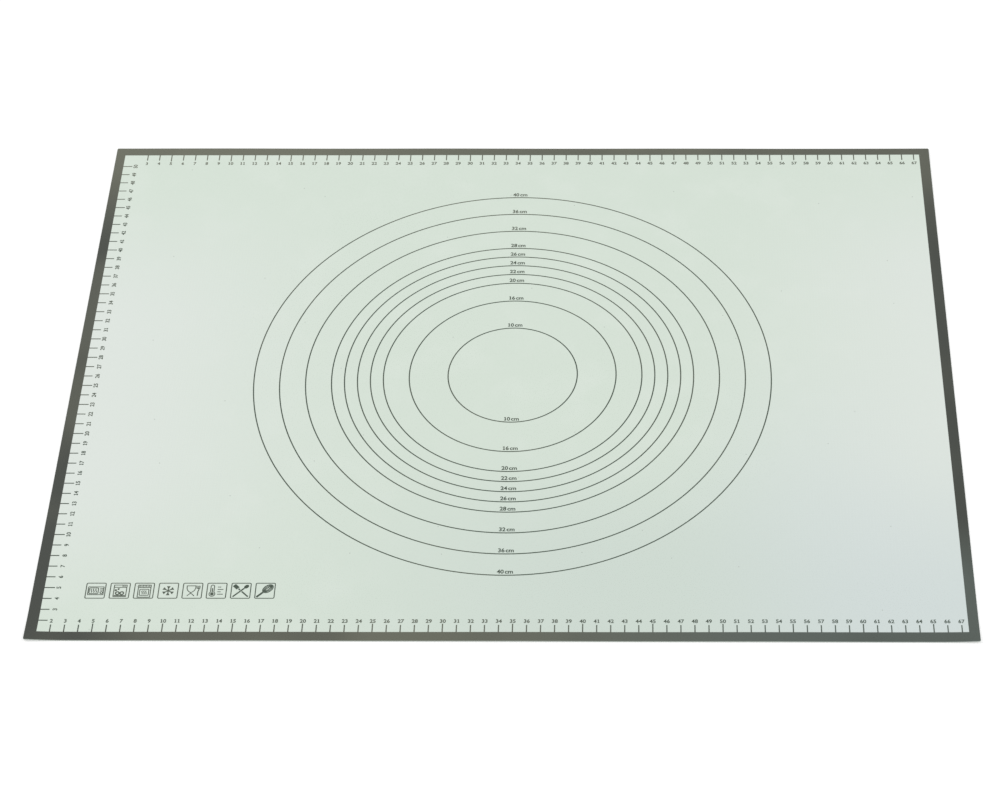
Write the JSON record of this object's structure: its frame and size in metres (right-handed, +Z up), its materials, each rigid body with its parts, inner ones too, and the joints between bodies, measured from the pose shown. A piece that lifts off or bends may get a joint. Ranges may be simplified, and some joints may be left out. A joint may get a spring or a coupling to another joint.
{
  "type": "baking mat",
  "caption": "Flat reinforced silicone mat for rolling out dough, with a dark printed border, centimetre rulers on three sides, concentric rolling circles and a row of symbol frames.",
  "frame": {"origin": "under the middle of the mat, on the surface that it lies on", "axes": "+X to the right along the longer edge, +Y from the front edge to the back edge, +Z up through the sheet"},
  "size_m": [0.68, 0.52, 0.0008],
  "materials": {
    "pale_silicone": "satin, pale mint, slightly see-through",
    "glass_cloth": "plain woven, off-white",
    "dark_ink": "satin, dark olive grey"
  },
  "bodies": {
    "root": {"lower_silicone_layer": "pale_silicone", "glass_fibre_cloth": "glass_cloth", "upper_silicone_layer": "pale_silicone", "border_and_rulers": "dark_ink", "circle_line_1": "dark_ink", "circle_line_2": "dark_ink", "circle_line_3": "dark_ink", "circle_line_4": "dark_ink", "circle_line_5": "dark_ink", "circle_line_6": "dark_ink", "circle_line_7": "dark_ink", "circle_line_8": "dark_ink", "circle_line_9": "dark_ink", "circle_line_10": "dark_ink", "symbol_frame_1": "dark_ink", "symbol_frame_2": "dark_ink", "symbol_frame_3": "dark_ink", "symbol_frame_4": "dark_ink", "symbol_frame_5": "dark_ink", "symbol_frame_6": "dark_ink", "symbol_frame_7": "dark_ink", "symbol_frame_8": "dark_ink"}
  },
  "joints": []
}
